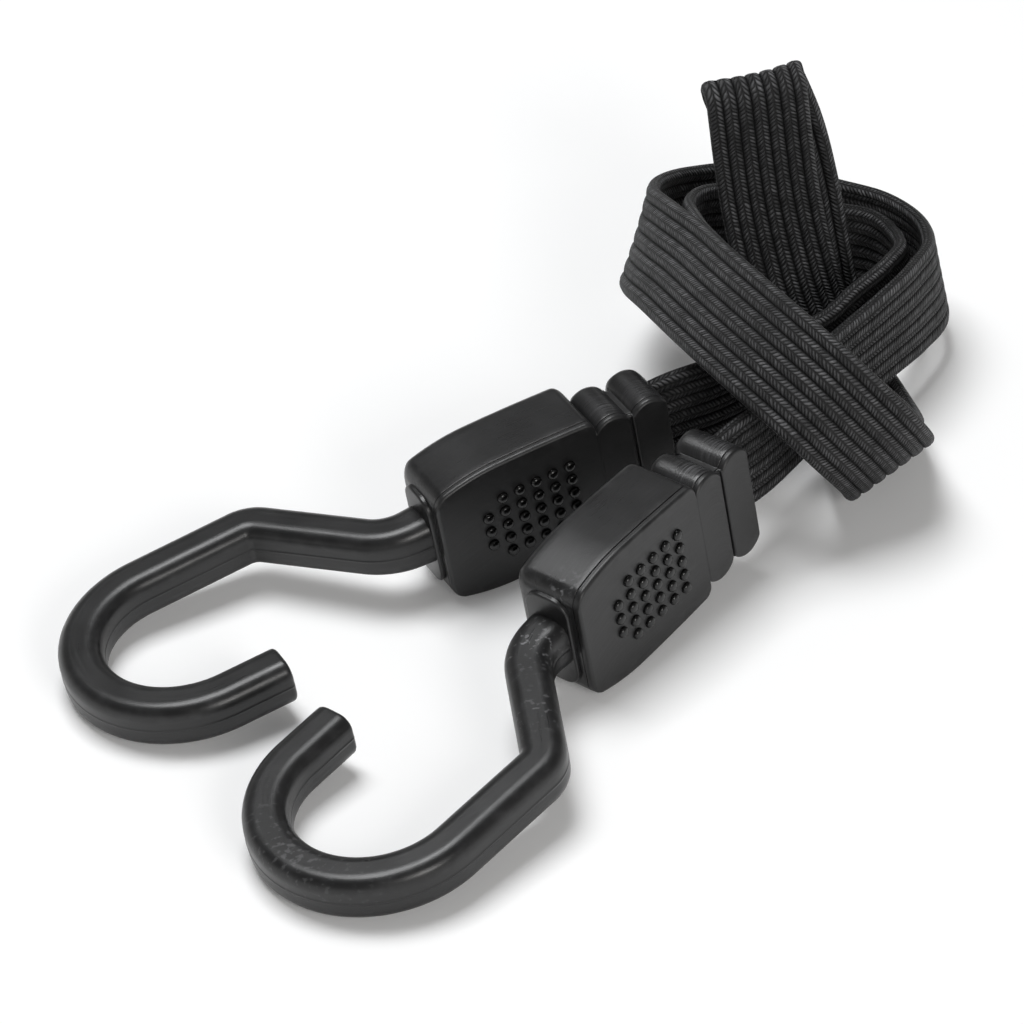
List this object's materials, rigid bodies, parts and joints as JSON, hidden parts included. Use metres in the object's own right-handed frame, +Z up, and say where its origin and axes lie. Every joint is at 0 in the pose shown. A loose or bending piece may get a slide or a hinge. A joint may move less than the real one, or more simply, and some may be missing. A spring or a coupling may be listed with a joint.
{
  "type": "bungee cord",
  "caption": "Flat elastic tie-down strap with a moulded plastic hook fitting at each end, doubled over and tied in a loose knot for storage.",
  "frame": {"origin": "on the table under the middle of the box around the end fittings", "axes": "+Z up from the table; the fittings point towards -X and -Y, and the knot lies towards +X and +Y"},
  "size_m": [0.1543, 0.1681, 0.053],
  "materials": {
    "housing": "satin black moulded nylon",
    "cover": "satin black moulded nylon with glossy grip dots",
    "hook": "satin black moulded nylon",
    "core": "drawn steel wire",
    "clip": "folded steel strip",
    "strap": "black braided polyester over rubber strands"
  },
  "bodies": {
    "knot": {"strap_knot": "strap"},
    "lead_a": {"strap_lead_a": "strap"},
    "end_a": {"housing_tub_a": "housing", "housing_cover_a": "cover", "hook_a": "hook", "hook_core_a": "core", "strap_clip_a": "clip", "strap_tail_a": "strap"},
    "lead_b": {"strap_lead_b": "strap"},
    "end_b": {"housing_tub_b": "housing", "housing_cover_b": "cover", "hook_b": "hook", "hook_core_b": "core", "strap_clip_b": "clip", "strap_tail_b": "strap"}
  },
  "joints": [
    {"name": "swing_a", "type": "hinge", "parent": "knot", "child": "lead_a", "pos_m": [0.053, 0.0548, 0.0162], "axis": [0, 0, 1], "range_deg": [-25, 0], "stiffness_Nm_per_rad": 0.02, "deforming": ["strap_lead_a"]},
    {"name": "stretch_a", "type": "slide", "parent": "lead_a", "child": "end_a", "axis": [-0.9056, -0.4242, 0], "range_m": [0, 0.01], "stiffness_N_per_m": 200, "deforming": ["strap_lead_a"]},
    {"name": "swing_b", "type": "hinge", "parent": "knot", "child": "lead_b", "pos_m": [0.0594, 0.0404, 0.0162], "axis": [0, 0, 1], "range_deg": [0, 20], "stiffness_Nm_per_rad": 0.02, "deforming": ["strap_lead_b"]},
    {"name": "stretch_b", "type": "slide", "parent": "lead_b", "child": "end_b", "axis": [-0.6845, -0.729, 0], "range_m": [0, 0.01], "stiffness_N_per_m": 200, "deforming": ["strap_lead_b"]}
  ]
}
